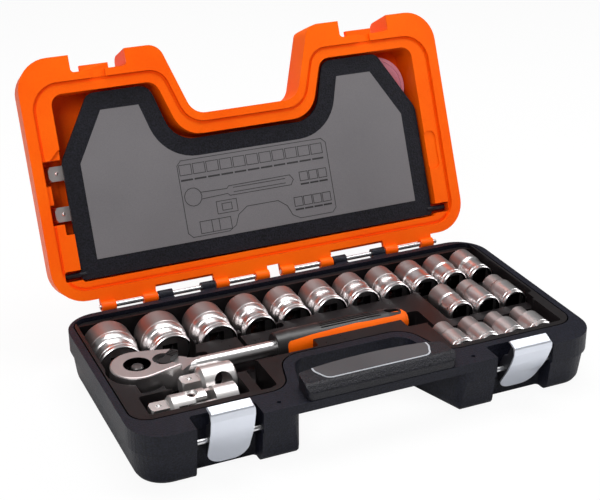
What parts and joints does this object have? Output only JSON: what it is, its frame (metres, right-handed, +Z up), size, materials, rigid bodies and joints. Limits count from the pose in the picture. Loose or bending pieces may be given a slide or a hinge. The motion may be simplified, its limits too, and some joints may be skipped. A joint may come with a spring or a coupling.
{
  "type": "socket wrench set in case",
  "caption": "Ratchet, sockets, universal joint, sliding head and extension bars in a hinged plastic carrying case with latches and a handle recess.",
  "frame": {"origin": "centre of the underside of the case base", "axes": "+X to the right along the case, +Y to the hinge at the back, +Z up; the latches and handle face -Y"},
  "size_m": [0.395, 0.3408, 0.2439],
  "materials": {
    "base_plastic": "fine-textured dark blue-grey plastic",
    "tray_plastic": "smooth dark grey plastic",
    "orange_plastic": "satin bright orange plastic",
    "panel_plastic": "grained black plastic",
    "label_sheet": "grey printed sheet",
    "bright_steel": "bright plated steel",
    "black_plastic": "coarse-textured black plastic",
    "grey_rubber": "smooth grey soft pad",
    "trim_plastic": "light grey trim",
    "latch_metal": "satin silver",
    "satin_chrome": "satin and polished chrome plate",
    "dark_steel": "blackened steel",
    "orange_rubber": "orange soft grip",
    "pink_plastic": "translucent pink plastic"
  },
  "bodies": {
    "case_base": {"base_shell": "base_plastic", "tool_tray": "tray_plastic", "carry_handle": "black_plastic", "handle_pad": "grey_rubber", "handle_trim": "trim_plastic", "hinge_rod_left": "bright_steel", "hinge_rod_right": "bright_steel", "latch_pin_left": "bright_steel", "latch_pin_right": "bright_steel"},
    "lid": {"lid_shell": "orange_plastic", "lid_lining": "orange_plastic", "long_bar": "satin_chrome", "short_bar": "satin_chrome", "lid_disc": "pink_plastic"},
    "lid_panel": {"lid_panel": "panel_plastic", "panel_label": "label_sheet"},
    "latch_left": {"latch_lever_left": "black_plastic", "latch_plate_left": "latch_metal"},
    "latch_right": {"latch_lever_right": "black_plastic", "latch_plate_right": "latch_metal"},
    "ratchet": {"ratchet_body": "satin_chrome", "ratchet_grip": "black_plastic", "grip_insert": "orange_rubber", "head_cap": "bright_steel"},
    "ratchet_drive": {"ratchet_drive": "dark_steel", "drive_ball": "bright_steel"},
    "release_button": {"release_button": "black_plastic"},
    "reverse_lever": {"reverse_lever": "black_plastic", "ratchet_pawl": "bright_steel"},
    "joint_drive_fork": {"joint_drive_fork": "satin_chrome", "joint_pins": "dark_steel", "joint_cross": "dark_steel", "joint_side_pins": "dark_steel"},
    "joint_socket_fork": {"joint_socket_fork": "satin_chrome"},
    "sliding_head": {"sliding_head": "satin_chrome"},
    "socket_32": {"socket_32": "satin_chrome"},
    "socket_30": {"socket_30": "satin_chrome"},
    "socket_27": {"socket_27": "satin_chrome"},
    "socket_24": {"socket_24": "satin_chrome"},
    "socket_23": {"socket_23": "satin_chrome"},
    "socket_22": {"socket_22": "satin_chrome"},
    "socket_21": {"socket_21": "satin_chrome"},
    "socket_20": {"socket_20": "satin_chrome"},
    "socket_19": {"socket_19": "satin_chrome"},
    "socket_18": {"socket_18": "satin_chrome"},
    "socket_17": {"socket_17": "satin_chrome"},
    "socket_16": {"socket_16": "satin_chrome"},
    "socket_15": {"socket_15": "satin_chrome"},
    "socket_14": {"socket_14": "satin_chrome"},
    "socket_13": {"socket_13": "satin_chrome"},
    "socket_12": {"socket_12": "satin_chrome"},
    "socket_11": {"socket_11": "satin_chrome"},
    "socket_10": {"socket_10": "satin_chrome"}
  },
  "joints": [
    {"name": "lid_hinge", "type": "hinge", "parent": "case_base", "child": "lid", "pos_m": [0, 0.1111, 0.0465], "axis": [-1, 0, 0], "range_deg": [-113.2, 0]},
    {"name": "panel_hinge", "type": "hinge", "parent": "lid", "child": "lid_panel", "pos_m": [0, 0.12944, 0.07128], "axis": [1, 0, 0], "range_deg": [0, 60]},
    {"name": "latch_left_hinge", "type": "hinge", "parent": "case_base", "child": "latch_left", "pos_m": [-0.126, -0.0959, 0.03], "axis": [1, 0, 0], "range_deg": [-13, 20]},
    {"name": "latch_right_hinge", "type": "hinge", "parent": "case_base", "child": "latch_right", "pos_m": [0.126, -0.0959, 0.03], "axis": [1, 0, 0], "range_deg": [-22, 11]},
    {"name": "socket_32_lift", "type": "slide", "parent": "case_base", "child": "socket_32", "axis": [0, 0, 1], "range_m": [0, 0.055]},
    {"name": "socket_30_lift", "type": "slide", "parent": "case_base", "child": "socket_30", "axis": [0, 0, 1], "range_m": [0, 0.055]},
    {"name": "socket_27_lift", "type": "slide", "parent": "case_base", "child": "socket_27", "axis": [0, 0, 1], "range_m": [0, 0.055]},
    {"name": "socket_24_lift", "type": "slide", "parent": "case_base", "child": "socket_24", "axis": [0, 0, 1], "range_m": [0, 0.055]},
    {"name": "socket_23_lift", "type": "slide", "parent": "case_base", "child": "socket_23", "axis": [0, 0, 1], "range_m": [0, 0.055]},
    {"name": "socket_22_lift", "type": "slide", "parent": "case_base", "child": "socket_22", "axis": [0, 0, 1], "range_m": [0, 0.055]},
    {"name": "socket_21_lift", "type": "slide", "parent": "case_base", "child": "socket_21", "axis": [0, 0, 1], "range_m": [0, 0.055]},
    {"name": "socket_20_lift", "type": "slide", "parent": "case_base", "child": "socket_20", "axis": [0, 0, 1], "range_m": [0, 0.055]},
    {"name": "socket_19_lift", "type": "slide", "parent": "case_base", "child": "socket_19", "axis": [0, 0, 1], "range_m": [0, 0.055]},
    {"name": "socket_18_lift", "type": "slide", "parent": "case_base", "child": "socket_18", "axis": [0, 0, 1], "range_m": [0, 0.055]},
    {"name": "socket_17_lift", "type": "slide", "parent": "case_base", "child": "socket_17", "axis": [0, 0, 1], "range_m": [0, 0.055]},
    {"name": "socket_16_lift", "type": "slide", "parent": "case_base", "child": "socket_16", "axis": [0, 0, 1], "range_m": [0, 0.055]},
    {"name": "socket_15_lift", "type": "slide", "parent": "case_base", "child": "socket_15", "axis": [0, 0, 1], "range_m": [0, 0.055]},
    {"name": "socket_14_lift", "type": "slide", "parent": "case_base", "child": "socket_14", "axis": [0, 0, 1], "range_m": [0, 0.055]},
    {"name": "socket_13_lift", "type": "slide", "parent": "case_base", "child": "socket_13", "axis": [0, 0, 1], "range_m": [0, 0.055]},
    {"name": "socket_12_lift", "type": "slide", "parent": "case_base", "child": "socket_12", "axis": [0, 0, 1], "range_m": [0, 0.055]},
    {"name": "socket_11_lift", "type": "slide", "parent": "case_base", "child": "socket_11", "axis": [0, 0, 1], "range_m": [0, 0.055]},
    {"name": "socket_10_lift", "type": "slide", "parent": "case_base", "child": "socket_10", "axis": [0, 0, 1], "range_m": [0, 0.055]},
    {"name": "ratchet_lift", "type": "slide", "parent": "case_base", "child": "ratchet", "axis": [0, 0, 1], "range_m": [0, 0.055]},
    {"name": "drive_turn", "type": "hinge", "parent": "ratchet", "child": "ratchet_drive", "pos_m": [-0.1643, -0.002, 0.0385], "axis": [0, 0, 1], "continuous": true},
    {"name": "release_press", "type": "slide", "parent": "ratchet_drive", "child": "release_button", "axis": [0, 0, 1], "range_m": [-0.0015, 0], "stiffness_N_per_m": 400},
    {"name": "reverse_lever_turn", "type": "hinge", "parent": "ratchet", "child": "reverse_lever", "pos_m": [-0.1425, -0.002, 0.0465], "axis": [0, 0, 1], "range_deg": [-80, 0]},
    {"name": "joint_lift", "type": "slide", "parent": "case_base", "child": "joint_drive_fork", "axis": [0, 0, 1], "range_m": [0, 0.055]},
    {"name": "joint_swing", "type": "hinge", "parent": "joint_drive_fork", "child": "joint_socket_fork", "pos_m": [-0.1396, -0.0564, 0.037], "axis": [0, -1, 0], "range_deg": [0, 25]},
    {"name": "sliding_head_lift", "type": "slide", "parent": "case_base", "child": "sliding_head", "axis": [0, 0, 1], "range_m": [0, 0.055]}
  ]
}
